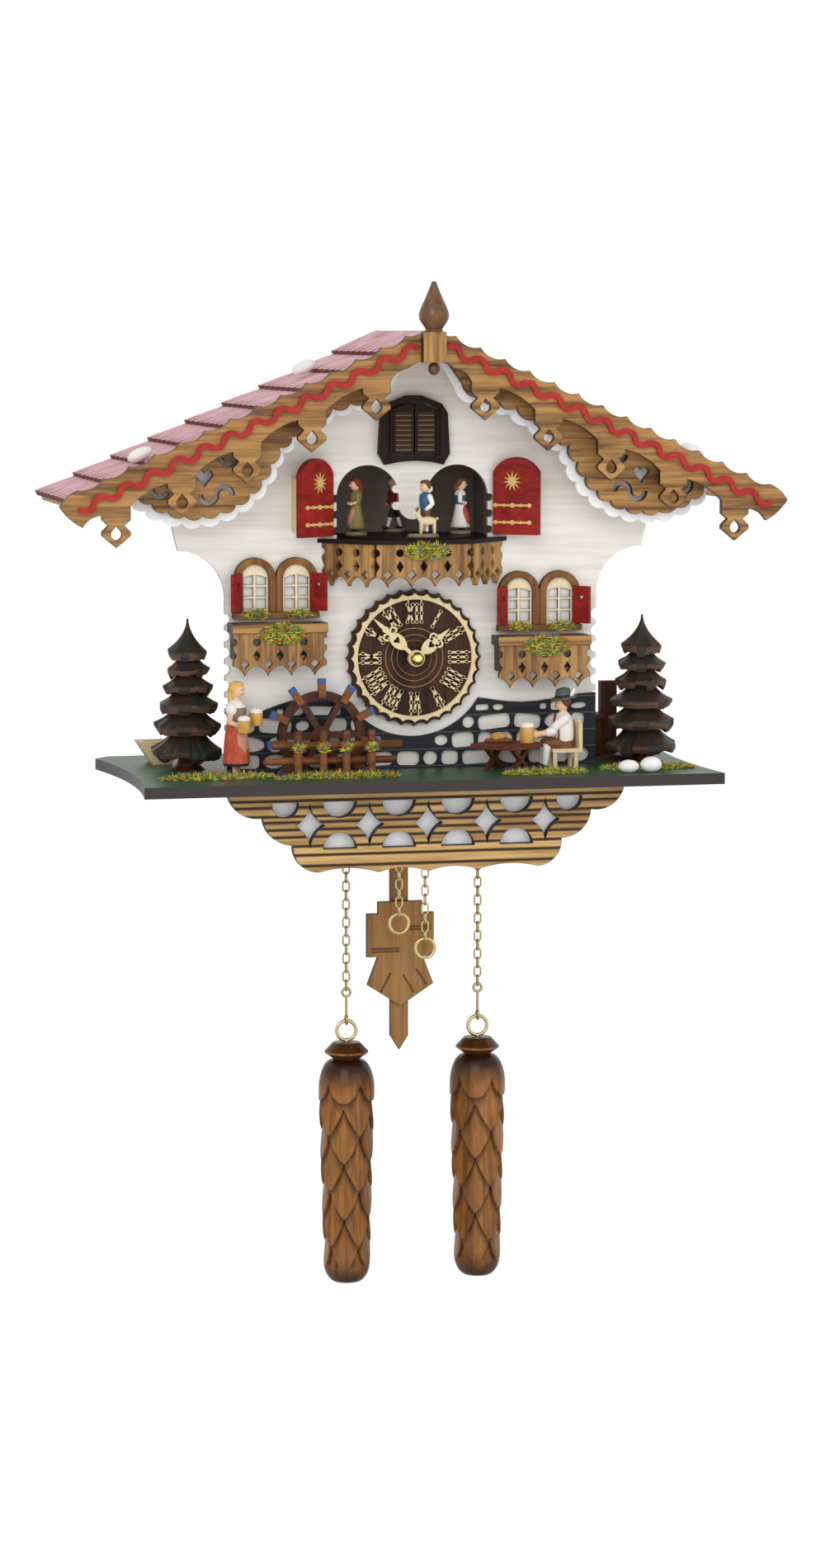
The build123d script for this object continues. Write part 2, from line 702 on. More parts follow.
def cuckoo_leaf():
    """Right door leaf: a panel with louvre slats and a hinge barrel with two pins."""
    axis = hinge_depth()
    face = door_opening(DOOR_HALF_WIDTH, -DOOR_GAP) & (Pos(50.35, 180) * Rectangle(100, 100))
    leaf = board(face, axis - 0.1 - DOOR_T, DOOR_T)
    pitch = (DOOR_SIDE_HEIGHT - 3) / DOOR_SLATS
    width = DOOR_HALF_WIDTH - 4.2
    for k in range(DOOR_SLATS):
        z = DOOR_BOTTOM_Z + 2 + k * pitch
        slat = Plane.YZ * polygon((-axis + 0.1, z), (-axis - 0.9, z), (-axis + 0.1, z + pitch - 0.5))
        leaf += Pos(1.8, 0, 0) * extrude(slat, amount=width)
    low = DOOR_BOTTOM_Z + DOOR_GAP
    high = DOOR_BOTTOM_Z + DOOR_SIDE_HEIGHT - DOOR_GAP
    x = DOOR_HALF_WIDTH
    leaf += rod((x, -axis, low), (x, -axis, high), DOOR_BARREL_R)
    pin_top = DOOR_BOTTOM_Z + DOOR_SIDE_HEIGHT + KNUCKLE_LIFT + KNUCKLE_HEIGHT
    leaf += rod((x, -axis, DOOR_BOTTOM_Z - 1.9), (x, -axis, pin_top), DOOR_PIN_R)
    return leaf


def bird_shelf():
    """Shelf over the stage with two rails that guide the bird."""
    body = block(-SHELF_HALF_WIDTH, SHELF_HALF_WIDTH, SHELF_BACK, facade_back, shelf_z, shelf_z + SHELF_T)
    for side in (-1, 1):
        inner = side * BIRD_RAIL_GAP / 2
        x0, x1 = sorted((inner, inner + side * 2.4))
        rail_z = shelf_z + SHELF_T
        body += block(x0, x1, SHELF_BACK + 4, facade_back, rail_z, rail_z + BIRD_RAIL_HEIGHT)
    return body


def cuckoo_bird():
    """Bird on a sliding foot: body, head, beak, tail and folded wings."""
    z = shelf_z + SHELF_T + SLIDE_CLEARANCE
    d = BIRD_REST_DEPTH
    foot = BIRD_RAIL_GAP / 2 - SLIDE_CLEARANCE
    stop = facade_back - BIRD_TRAVEL - SLIDE_CLEARANCE
    body = block(-foot, foot, stop - 14, stop, z, z + 3.0)
    body += block(-1.2, 1.2, stop - 6, d + 1.2, z + 2.4, z + 4.2)
    body += rod((0, -d, z + 4), (0, -d, z + 7), 1.2)
    trunk = turned((0, -7.5), (2.2, -6.6), (4.0, -3), (4.4, 0.5), (3.6, 4), (2.4, 6), (0, 6.4))
    body += Pos(0, -d, z + 9) * Rot(62, 0, 0) * trunk
    body += ball(0, d + 6.2, z + 14.2, 3.5)
    body += rod((0, -d - 8.8, z + 14.2), (0, -d - 13.2, z + 13.4), 1.2, 0.3)
    body += Pos(0, -d + 10.5, z + 5.6) * Rot(24, 0, 0) * Box(4.4, 10, 1.4)
    for side in (-1, 1):
        body += Pos(side * 3.9, -d + 1.6, z + 9) * Rot(24, 0, 0) * Box(1.2, 10, 4.6)
    return body


# Stage and balcony

def stage_lining():
    """Dark back and side panels of the stage."""
    low = STAGE_FLOOR_Z
    half = SHELF_HALF_WIDTH
    back = block(-half, half, SHELF_BACK, SHELF_BACK + LINING_T, low, shelf_z)
    side = block(half - LINING_T, half, SHELF_BACK + LINING_T, facade_back, low, shelf_z)
    return [back, side, mirrored(side)]


def balcony_floor():
    """Dark floor board: inside the stage, through the arches and out to the three-sided balcony."""
    inside = Pos(0, -(SHELF_BACK + facade_back) / 2) * Rectangle(2 * SHELF_HALF_WIDTH, facade_back - SHELF_BACK)
    through = Pos(0, -FACADE_FRONT + FACADE_T / 2) * Rectangle(2 * ARCH_OUTER_X - 0.2, FACADE_T)
    outside = polygon(
        (-BALCONY_HALF_BACK, -FACADE_FRONT), (BALCONY_HALF_BACK, -FACADE_FRONT),
        (BALCONY_HALF_FRONT, -BALCONY_FRONT), (-BALCONY_HALF_FRONT, -BALCONY_FRONT),
    )
    face = inside + through + outside
    face -= Pos(0, -TURNTABLE_DEPTH) * Circle(SPINDLE_R + RUN_CLEARANCE)
    return slab(face, floor_bottom, FLOOR_T)


def pierced_panel(points, pitch, height, point):
    """Panel with a row of points below and round, long and square holes, hung from its top edge."""
    width = points * pitch
    edges = path((0, -height), (0, 0), (width, 0), (width, -height))
    for k in reversed(range(points)):
        middle = (k + 0.5) * pitch
        edges.append(bulged(((k + 1) * pitch, -height), (middle, -height - point), -1.1))
        edges.append(bulged((middle, -height - point), (k * pitch, -height), -1.1))
    face = outline(edges)
    for k in range(points + 1):
        x = k * pitch
        face -= Pos(x, -4.6) * Circle(2.0)
        face -= Pos(x, -11.8) * polygon((-1.9, 0), (0, -3.1), (1.9, 0), (0, 3.1))
    for k in range(points):
        x = (k + 0.5) * pitch
        face -= Pos(x, -height + 1.0) * Rot(0, 0, 45) * Rectangle(3.4, 3.4)
    return face


def balcony_panels():
    """Apron under the balcony floor: one front and two slanting pierced panels."""
    half = BALCONY_HALF_FRONT - APRON_SET_BACK
    front = BALCONY_FRONT - APRON_SET_BACK
    drop = APRON_HEIGHT - APRON_POINT
    middle_face = pierced_panel(4, half / 2, drop, APRON_POINT)
    middle = board(Pos(-half, floor_bottom) * middle_face, front - APRON_T, APRON_T)
    run_x = BALCONY_HALF_BACK - BALCONY_HALF_FRONT
    run_y = BALCONY_FRONT - FACADE_FRONT
    length = hypot(run_x, run_y)
    along = Vector(run_x / length, run_y / length, 0)
    out = Vector(run_y / length, -run_x / length, 0)
    start = Vector(half, -front, floor_bottom) + along * (APRON_T * 0.45 + 0.1)
    usable = (-FACADE_FRONT - start.Y) / along.Y - 0.2
    panel = pierced_panel(3, usable / 3, drop, APRON_POINT)
    plane = Plane(origin=start, x_dir=along, z_dir=out)
    side = extrude(plane * panel, amount=-APRON_T)
    side = side & block(0, 200, FACADE_FRONT, 200, 0, 200)
    side = side - block(0, half + 0.05, front - APRON_T - 1, front + 5, 0, 200)
    return [middle, side, mirrored(side)]


def turntable():
    """Disc in front of and behind the arches, on a spindle through the floor."""
    z = STAGE_FLOOR_Z + TURNTABLE_GAP
    disc = Pos(0, -TURNTABLE_DEPTH, z + TURNTABLE_T / 2) * Cylinder(TURNTABLE_R, TURNTABLE_T)
    spindle = rod((0, -TURNTABLE_DEPTH, z - SPINDLE_LENGTH), (0, -TURNTABLE_DEPTH, z), SPINDLE_R)
    return disc + spindle


def dress_figure(height, skirt, lean):
    """Standing figure in a skirt: turned dress, head and two bent arms. Faces -X."""
    h = height
    body = turned(
        (0, 0), (skirt, 0), (skirt * 0.95, h * 0.08), (h * 0.10, h * 0.46), (h * 0.085, h * 0.52),
        (h * 0.115, h * 0.64), (h * 0.10, h * 0.74), (h * 0.04, h * 0.78), (h * 0.04, h * 0.8), (0, h * 0.8),
    )
    body += Pos(-lean, 0, h * 0.88) * Sphere(h * 0.105)
    for side in (-1, 1):
        shoulder = (0, side * h * 0.12, h * 0.71)
        elbow = (-h * 0.03, side * h * 0.17, h * 0.55)
        hand = (-h * 0.17, side * h * 0.11, h * 0.52)
        body += rod(shoulder, elbow, h * 0.042)
        body += rod(elbow, hand, h * 0.038)
        body += Pos(*elbow) * Sphere(h * 0.042)
        body += Pos(*hand) * Sphere(h * 0.042)
        body += Pos(*shoulder) * Sphere(h * 0.05)
    return body


def trouser_figure(height):
    """Standing figure in breeches: two legs, shoes, jacket, arms and head. Faces -X."""
    h = height
    body = turned(
        (0, h * 0.40), (h * 0.095, h * 0.40), (h * 0.10, h * 0.5), (h * 0.12, h * 0.66), (h * 0.10, h * 0.75),
        (h * 0.04, h * 0.79), (h * 0.04, h * 0.81), (0, h * 0.81),
    )
    body += Pos(0, 0, h * 0.89) * Sphere(h * 0.105)
    for side in (-1, 1):
        hip = (0, side * h * 0.055, h * 0.43)
        foot = (side * h * 0.04, side * h * 0.07, 0)
        body += rod(hip, foot, h * 0.062, h * 0.045)
        body += Pos(side * h * 0.04 - h * 0.03, side * h * 0.07, h * 0.03) * Box(h * 0.16, h * 0.08, h * 0.06)
        shoulder = (0, side * h * 0.125, h * 0.71)
        elbow = (h * 0.03, side * h * 0.18, h * 0.57)
        hand = (-h * 0.1, side * h * 0.15, h * 0.48)
        body += rod(shoulder, elbow, h * 0.045)
        body += rod(elbow, hand, h * 0.04)
        body += Pos(*elbow) * Sphere(h * 0.045)
        body += Pos(*hand) * Sphere(h * 0.042)
        body += Pos(*shoulder) * Sphere(h * 0.05)
    return body


def goat():
    """Small standing goat that faces -X."""
    body = Pos(0, 0, 6.6) * Rot(0, 90, 0) * turned((0, -5.2), (1.9, -4.4), (2.3, 0), (2.0, 4), (0, 5.2))
    for x in (-3.6, 3.6):
        for y in (-1.1, 1.1):
            body += rod((x, y, 0), (x, y, 6.4), 0.65)
    body += rod((-4, 0, 7.2), (-6.2, 0, 10.4), 1.5, 1.1)
    body += rod((-5.6, 0, 10.8), (-9.0, 0, 9.6), 1.4, 0.7)
    for y in (-0.8, 0.8):
        body += rod((-5.8, y, 11.0), (-5.0, y * 1.6, 13.4), 0.5, 0.25)
    return body


def dancers():
    """Four figures on little bases, a quarter turn apart on the turntable."""
    top = STAGE_FLOOR_Z + TURNTABLE_GAP + TURNTABLE_T
    base = Pos(0, 0, DANCER_BASE_T / 2) * Cylinder(DANCER_BASE_R, DANCER_BASE_T)
    lift = Pos(0, 0, DANCER_BASE_T - 0.02)
    woman = base + lift * dress_figure(28.4, 5.2, 0.8)
    man = base + lift * trouser_figure(28.4)
    girl = base + lift * mirror(dress_figure(28.0, 5.2, 0.4), about=Plane.YZ)
    wide_base = extrude(SlotOverall(17, 11), amount=DANCER_BASE_T)
    boy = wide_base + lift * Pos(2.6, 1.6, 0) * trouser_figure(28.0) + lift * Pos(1.2, -3.0, 0) * goat()
    places = ((boy, 2.8), (girl, 92.8), (man, 182.8), (woman, 272.8))
    figures = []
    for figure, angle in places:
        a = radians(angle)
        x, y = DANCER_RADIUS * sin(a), -TURNTABLE_DEPTH - DANCER_RADIUS * cos(a)
        figures.append(Pos(x, y, top) * figure)
    return figures


def drive_motors():
    """Two small geared motors: one under the turntable, one behind the mill wheel."""
    half = MOTOR_SIZE / 2
    stage = block(-half, half, facade_back - MOTOR_SIZE, facade_back, floor_bottom - MOTOR_HEIGHT, floor_bottom)
    depth = -TURNTABLE_DEPTH
    bore_z = floor_bottom - MOTOR_HEIGHT + 3
    stage -= rod((0, depth, bore_z), (0, depth, floor_bottom + 1), SPINDLE_R + RUN_CLEARANCE)
    wheel = block(WHEEL_X - half, WHEEL_X + half, facade_back - MOTOR_HEIGHT, facade_back,
                  WHEEL_Z - half, WHEEL_Z + half)
    wheel -= pin_y(WHEEL_X, WHEEL_Z, facade_back - MOTOR_HEIGHT + 3, facade_back + 1, AXLE_R + RUN_CLEARANCE)
    return [stage, wheel]


# Shutters

def stage_shutter_plane():
    """Plane of the right stage shutter: X runs outwards along it, Y up, Z to the front."""
    a = radians(SHUTTER_OPEN)
    origin = (SHUTTER_X, -FACADE_FRONT - 0.2, STAGE_FLOOR_Z + SHUTTER_LIFT)
    return Plane(origin=origin, x_dir=(cos(a), -sin(a), 0), z_dir=(-sin(a), -cos(a), 0))


def stage_shutter():
    """Right stage shutter: an arch-topped board standing open."""
    side = SHUTTER_HEIGHT - SHUTTER_ARCH
    edges = path((0, side), (0, 0), (SHUTTER_WIDTH, 0), (SHUTTER_WIDTH, side))
    edges.append(ThreePointArc((SHUTTER_WIDTH, side), (SHUTTER_WIDTH / 2, SHUTTER_HEIGHT), (0, side)))
    return extrude(stage_shutter_plane() * outline(edges), amount=SHUTTER_T)


def star_flower(petals, radius, inner):
    """Flat flower: a ring of pointed petals."""
    points = []
    for k in range(2 * petals):
        r = radius if k % 2 == 0 else inner
        points.append((r * sin(pi * k / petals), r * cos(pi * k / petals)))
    return polygon(*points)


def shutter_ornaments():
    """Gold star flower and two straps on each stage shutter."""
    plane = stage_shutter_plane().offset(SHUTTER_T)
    flower = Pos(0.43 * SHUTTER_WIDTH, 0.69 * SHUTTER_HEIGHT) * star_flower(11, 5.4, 2.0)
    pieces = [extrude(plane * flower, amount=STRAP_T)]
    reach = STRAP_REACH * SHUTTER_WIDTH
    for z in (0.16 * SHUTTER_HEIGHT, 0.38 * SHUTTER_HEIGHT):
        strap = Pos(reach / 2 + 0.2, z) * Rectangle(reach - 0.4, 1.1)
        for share, r in ((0.08, 1.1), (0.3, 0.9), (0.52, 1.3), (0.74, 0.9), (0.96, 1.2)):
            strap += Pos(share * reach, z) * Circle(r)
        pieces.append(extrude(plane * strap, amount=STRAP_T))
    return pieces + [mirrored(piece) for piece in pieces]


def shutter_props():
    """Upright wooden blocks between the facade and the outer edges of the stage shutters."""
    a = radians(SHUTTER_OPEN)
    reach = SHUTTER_WIDTH - 0.6
    x0 = SHUTTER_X + (reach - PROP_WIDTH) * cos(a)
    x1 = SHUTTER_X + reach * cos(a)
    d0 = FACADE_FRONT + (x0 - SHUTTER_X) * tan(a) + 0.2
    d1 = FACADE_FRONT + (x1 - SHUTTER_X) * tan(a) + 0.2
    face = polygon((x0, -FACADE_FRONT), (x1, -FACADE_FRONT), (x1, -d1), (x0, -d0))
    wedge = slab(face, STAGE_FLOOR_Z + SHUTTER_LIFT + 3, PROP_HEIGHT)
    return [wedge, mirrored(wedge)]


def window_shutter(x, z, side):
    """Small window shutter with a heart, hinged at the window's outer edge and standing open."""
    a = radians(WINDOW_SHUTTER_OPEN)
    face = Pos(WINDOW_SHUTTER_WIDTH / 2, WINDOW_SHUTTER_HEIGHT / 2) * Rectangle(
        WINDOW_SHUTTER_WIDTH, WINDOW_SHUTTER_HEIGHT
    )
    face -= Pos(WINDOW_SHUTTER_WIDTH / 2, WINDOW_SHUTTER_HEIGHT * 0.72) * heart(3.6)
    origin = (0, -FACADE_FRONT - WINDOW_T - 0.05, 0)
    plane = Plane(origin=origin, x_dir=(cos(a), -sin(a), 0), z_dir=(-sin(a), -cos(a), 0))
    leaf = extrude(plane * face, amount=WINDOW_SHUTTER_T)
    if side < 0:
        leaf = mirrored(leaf)
    return Pos(x + side * (LIGHT_PITCH / 2 + LIGHT_INNER_R + 0.8), 0, z + SILL_HEIGHT + 0.8) * leaf


def red_shutters():
    """All red shutters: two beside the stage and a pair at each window."""
    large = stage_shutter()
    pieces = [large, mirrored(large)]
    for x, z in (WINDOW_LEFT, WINDOW_RIGHT):
        pieces += [window_shutter(x, z, side) for side in (-1, 1)]
    return pieces


# Windows and flower boxes

def arched(half, low, spring):
    """Upright face with a half-round top."""
    return Pos(0, (low + spring) / 2) * Rectangle(2 * half, spring - low) + Pos(0, spring) * Circle(half)


def window_frame(x, z):
    """Two arched lights side by side on a common sill."""
    face = Pos(0, SILL_HEIGHT / 2) * Rectangle(2 * SILL_HALF, SILL_HEIGHT)
    for side in (-1, 1):
        face += Pos(side * LIGHT_PITCH / 2, 0) * arched(LIGHT_OUTER_R, 0, LIGHT_SPRING)
    for side in (-1, 1):
        face -= Pos(side * LIGHT_PITCH / 2, 0) * arched(LIGHT_INNER_R, SILL_HEIGHT, LIGHT_SPRING)
    frame = board(Pos(x, z) * face, FACADE_FRONT, WINDOW_T)
    front = FACADE_FRONT + WINDOW_T
    sill = block(x - SILL_HALF, x + SILL_HALF, front, front + 2, z, z + SILL_HEIGHT)
    return frame + sill


def window_sash(x, z):
    """Cream sash of one light: two columns of three panes under a closed arch."""
    half = LIGHT_INNER_R - 0.05
    face = arched(half, SILL_HEIGHT + 0.05, LIGHT_SPRING)
    width = (2 * half - 3 * MUNTIN) / 2
    height = (LIGHT_SPRING - SILL_HEIGHT - 4 * MUNTIN) / 3
    for column in (-1, 1):
        for row in range(3):
            low = SILL_HEIGHT + MUNTIN + row * (height + MUNTIN)
            face -= Pos(column * (width + MUNTIN) / 2, low + height / 2) * Rectangle(width, height)
    return board(Pos(x, z) * face, FACADE_FRONT, SASH_T)


def window_sashes():
    """The four sashes."""
    return [
        window_sash(x + side * LIGHT_PITCH / 2, z)
        for x, z in (WINDOW_LEFT, WINDOW_RIGHT)
        for side in (-1, 1)
    ]


def flower_box(x, z):
    """Flower box: pierced front panel, two sides, a bottom and a rail round the top."""
    width = BOX_POINTS * APRON_PITCH
    half = width / 2
    front = FACADE_FRONT + BOX_DEPTH
    top = z - BOX_DROP
    rail_low = top - BOX_RAIL_HEIGHT
    panel_face = pierced_panel(BOX_POINTS, APRON_PITCH, APRON_HEIGHT - APRON_POINT, APRON_POINT)
    panel_face = Pos(x - half, rail_low) * panel_face
    panel = board(panel_face, front - BOX_BOARD_T, BOX_BOARD_T)
    back = front - BOX_BOARD_T
    low = rail_low - 14
    body = block(x - half + 1, x - half + 1 + BOX_BOARD_T, FACADE_FRONT, back, low, rail_low)
    body += block(x + half - 1 - BOX_BOARD_T, x + half - 1, FACADE_FRONT, back, low, rail_low)
    body += block(x - half + 1, x + half - 1, FACADE_FRONT, back, low, low + 2)
    outer = half + BOX_RAIL_OVERHANG
    rail = block(x - outer, x + outer, FACADE_FRONT, front + BOX_RAIL_OVERHANG, rail_low, top)
    rail -= block(x - half + 4, x + half - 4, FACADE_FRONT + 3, back - 1, rail_low - 1, top + 1)
    return [panel, body, rail]


def flower_boxes():
    """Both flower boxes."""
    return flower_box(*WINDOW_LEFT) + flower_box(*WINDOW_RIGHT)


def tuft(x, depth, z, length, width, height, taper=14):
    """Low round-ended patch of dried flowers."""
    return extrude(Pos(x, -depth, z) * SlotOverall(length, width), amount=height, taper=taper)


def flower_clumps():
    """Flower patches on the plate, the boxes and the balcony, and tufts on the sills and fence posts."""
    pieces = []
    beds = ((-112, 122.5, 62, 12), (-49, 131.2, 66, 9), (62, 137.5, 46, 10), (122, 126, 52, 12))
    for x, depth, length, width in beds:
        pieces.append(tuft(x, depth, 0, length, width, 4.0))
    front = FACADE_FRONT + BOX_DEPTH
    for x, z in (WINDOW_LEFT, WINDOW_RIGHT):
        pieces.append(tuft(x + 1, front - 4.7, z - BOX_DROP, 25, 8, 3.4))
        for side in (-1, 1):
            light_x = x + side * LIGHT_PITCH / 2
            pieces.append(tuft(light_x, FACADE_FRONT + WINDOW_T - 0.2, z + SILL_HEIGHT, 13, 3.4, 4.0))
    apron_front = BALCONY_FRONT - APRON_SET_BACK
    pieces.append(tuft(1.0, apron_front + 2.5, floor_bottom - 7.5, 24, 5.0, 7.4, 0))
    for x in FENCE_POSTS:
        pieces.append(tuft(x, FENCE_DEPTH + 8.7, FENCE_HEIGHT * 0.5, 7, 4.5, 6.0))
    return pieces


# Dial, hands and movement

def dial():
    """Brown scalloped dial board."""
    face = scalloped_disc(DIAL_R, DIAL_SCALLOPS, 1.5) - Circle(BUSH_R + RUN_CLEARANCE)
    return board(Pos(0, DIAL_Z) * face, FACADE_FRONT, DIAL_T)


def numeral_ring():
    """Cream scalloped ring that frames the hours."""
    face = scalloped_disc(RING_R, DIAL_SCALLOPS, 1.4) - Circle(RING_INNER_R)
    return board(Pos(0, DIAL_Z) * face, FACADE_FRONT + DIAL_T, RING_T)


def hand_face(length, bore):
    """Fretted hand that points up: a round boss, a pierced leaf, a neck and a spear tip."""
    boss = 4.4
    leaf_z = length * 0.42
    leaf = outline([
        bulged((0, leaf_z - 6.5), (0, leaf_z + 6.5), -3.6),
        bulged((0, leaf_z + 6.5), (0, leaf_z - 6.5), -3.6),
    ])
    face = Circle(boss) + Pos(0, length * 0.3) * Rectangle(2.0, length * 0.6) + leaf
    low, neck = length * 0.5, length * 0.8
    face += polygon((-1.0, low), (1.0, low), (1.0, neck), (0, length), (-1.0, neck))
    face += Pos(0, length * 0.7) * Circle(1.7)
    face -= Pos(0, leaf_z + 1.2) * heart(3.6)
    return face - Circle(bore)


def hands_depth():
    """Depths of the backs of the hour hand and the minute hand."""
    hour = FACADE_FRONT + DIAL_T + RING_T + HAND_GAP
    return hour, hour + HAND_T + HAND_GAP


def hour_hand():
    """Hour hand with its pipe."""
    depth, _ = hands_depth()
    face = Pos(0, DIAL_Z) * Rot(0, 0, -HOUR_HAND_ANGLE) * hand_face(HOUR_HAND_LENGTH, ARBOR_R + RUN_CLEARANCE)
    pipe = pin_y(0, DIAL_Z, facade_back - 2, depth + HAND_T, HOUR_PIPE_R)
    pipe -= pin_y(0, DIAL_Z, facade_back - 3, depth + HAND_T + 1, ARBOR_R + RUN_CLEARANCE)
    return board(face, depth, HAND_T) + pipe


def minute_hand():
    """Minute hand."""
    _, depth = hands_depth()
    face = Pos(0, DIAL_Z) * Rot(0, 0, -MINUTE_HAND_ANGLE) * hand_face(MINUTE_HAND_LENGTH, ARBOR_R + 0.02)
    return board(face, depth, HAND_T)


def hand_nut():
    """Brass arbor with the domed nut that holds the hands."""
    _, depth = hands_depth()
    front = depth + HAND_T
    profile = outline(
        path((0.5, 4.4), (0, 4.4), (0, 0), (NUT_R, 0), (NUT_R, 1.6))
        + [ThreePointArc((NUT_R, 1.6), (NUT_R * 0.66, 3.7), (0.5, 4.4))]
    )
    dome = Pos(0, -front, DIAL_Z) * Rot(90, 0, 0) * revolve(Plane.XZ * profile, Axis.Z)
    return dome + pin_y(0, DIAL_Z, facade_back - 6, front + 0.5, ARBOR_R)


def movement_housing():
    """Quartz movement: moulded box, threaded bush for the dial, knob bore and pendulum pin."""
    half = MOVEMENT_SIZE / 2
    back = facade_back - MOVEMENT_T
    body = block(-half, half, back, facade_back, DIAL_Z - half, DIAL_Z + half)
    body = fillet(body.edges().filter_by(Axis.Y), 4)
    body += pin_y(0, DIAL_Z, facade_back - 0.5, FACADE_FRONT + DIAL_T, BUSH_R)
    body -= pin_y(0, DIAL_Z, facade_back - 6.4, FACADE_FRONT + DIAL_T + 1, HOUR_PIPE_R + RUN_CLEARANCE)
    body -= pin_y(KNOB_X, KNOB_Z, back - 1, back + 8, ARBOR_R + RUN_CLEARANCE)
    body += pin_y(0, PENDULUM_PIVOT_Z, PENDULUM_DEPTH - PENDULUM_T / 2 - 1.5, back + 0.5, PENDULUM_PIN_R)
    return body


def setting_knob():
    """Ribbed knob that sets the hands from behind."""
    back = facade_back - MOVEMENT_T
    face = scalloped_disc(KNOB_R, 20, 0.5)
    knob = board(Pos(KNOB_X, KNOB_Z) * face, back - 6, 5.6)
    return knob + pin_y(KNOB_X, KNOB_Z, back - 1, back + 7.6, ARBOR_R)


def loudspeaker():
    """Small loudspeaker on the inside of the right wall."""
    wall = HOUSE_HALF_WIDTH - WALL_T
    basket = turned((0, 0), (20, 0), (20, 2), (17, 3), (11, 9), (11, 13), (0, 13))
    return Pos(wall, -45, 60) * Rot(0, -90, 0) * basket


# Stone cladding and mill wheel

def cladding_top(x):
    """Height of the cladding's upper edge."""
    return 36.5 + 2.2 * sin(x / 13.0) - (max(0, -x - 62) * 0.2)


def stone_fits(x, z, width, height):
    """Whether a stone stays inside the cladding's edges and clear of the dial and the wheel's axle."""
    reach = max(width, height) / 2
    clear_dial = hypot(x, z - DIAL_Z) - reach > CLADDING_BITE_R + 0.8
    clear_axle = abs(x - WHEEL_X) > width / 2 + 3 or abs(z - WHEEL_Z) > height / 2 + 3
    top = min(cladding_top(x - width / 2), cladding_top(x + width / 2))
    clear_side = abs(x) + width / 2 < FACADE_HALF_WIDTH - 2.2
    return clear_dial and clear_axle and clear_side and z + height / 2 + 1.3 < top


def stone_cladding():
    """Black overlay pierced with rounded stones, cut round the dial."""
    half = FACADE_HALF_WIDTH - 0.5
    crest = [(x, cladding_top(x)) for x in range(int(half), -int(half) - 1, -8)]
    face = outline(path((-half, 0), (half, 0), (half, crest[0][1])) + path((half, crest[0][1]), *crest[1:-1])
                     + path(crest[-2], (-half, crest[-1][1]), (-half, 0)))
    face -= Pos(0, DIAL_Z) * Circle(CLADDING_BITE_R)
    face -= Pos(WHEEL_X, WHEEL_Z) * Circle(AXLE_R + 0.6)
    for row, (z, height) in enumerate(STONE_ROWS):
        x = -half + 2.5
        k = row
        while x < half - 6:
            w = STONE_WIDTHS[(2 * k + row) % len(STONE_WIDTHS)]
            for scale in (1.0, 0.7, 0.5):
                size = (w * scale, height * (0.4 + 0.6 * scale))
                if stone_fits(x + size[0] / 2, z, *size):
                    break
            else:
                x += 3.0
                continue
            lean = 6 * sin(3.1 * k + row)
            form = Ellipse(size[0] / 2, size[1] / 2) if k % 3 == 1 else RectangleRounded(*size, size[1] * 0.36)
            face -= Pos(x + size[0] / 2, z) * Rot(0, 0, lean) * form
            x += size[0] + STONE_SEAM
            k += 1
    return board(face, FACADE_FRONT, CLADDING_T)


def mill_wheel():
    """Water wheel: rim, six spokes, hub, eleven paddles on the front and an axle."""
    face = Circle(WHEEL_RIM_R) - Circle(WHEEL_RIM_R - WHEEL_RIM_WIDTH) + Circle(WHEEL_HUB_R)
    for k in range(WHEEL_SPOKES):
        face += Rot(0, 0, 360 * k / WHEEL_SPOKES) * Pos(WHEEL_RIM_R / 2, 0) * Rectangle(WHEEL_RIM_R - 2, 3.4)
    wheel = board(Pos(WHEEL_X, WHEEL_Z) * face, WHEEL_BACK, WHEEL_T)
    length = PADDLE_TIP_R - PADDLE_ROOT_R
    for k in range(PADDLE_COUNT):
        paddle = Pos((PADDLE_TIP_R + PADDLE_ROOT_R) / 2, 0) * Rectangle(length, PADDLE_WIDTH)
        turned_paddle = Pos(WHEEL_X, WHEEL_Z) * Rot(0, 0, PADDLE_TURN + 360 * k / PADDLE_COUNT) * paddle
        wheel += board(turned_paddle, WHEEL_BACK + WHEEL_T, PADDLE_T)
    axle = pin_y(WHEEL_X, WHEEL_Z, facade_back - MOTOR_HEIGHT + 4, WHEEL_BACK + WHEEL_T + 3, AXLE_R)
    return wheel + axle


# Bracket

def bracket_face():
    """Bracket outline: three bulging steps down each side and hollow arcs along the bottom."""
    right = [(107.5, -9), (89.3, -20.5), (73, -35.5), (59.5, -50.2)]
    left = [(-x, z) for x, z in reversed(right)]
    bottom = [(59.5, -50.2), (27, -51), (0, -51.2), (-27, -51), (-59.5, -50.2)]
    edges = path((-107.5, -9), (-107.5, -PLATE_T), (107.5, -PLATE_T), (107.5, -9))
    edges += arc_chain(right, 4.4) + arc_chain(bottom, -2.3) + arc_chain(left, 4.4)
    return outline(edges)


def half_disc(half, depth):
    """Flat side up, round side down."""
    return outline(path((-half, 0), (half, 0)) + [ThreePointArc((half, 0), (0, -depth), (-half, 0))])


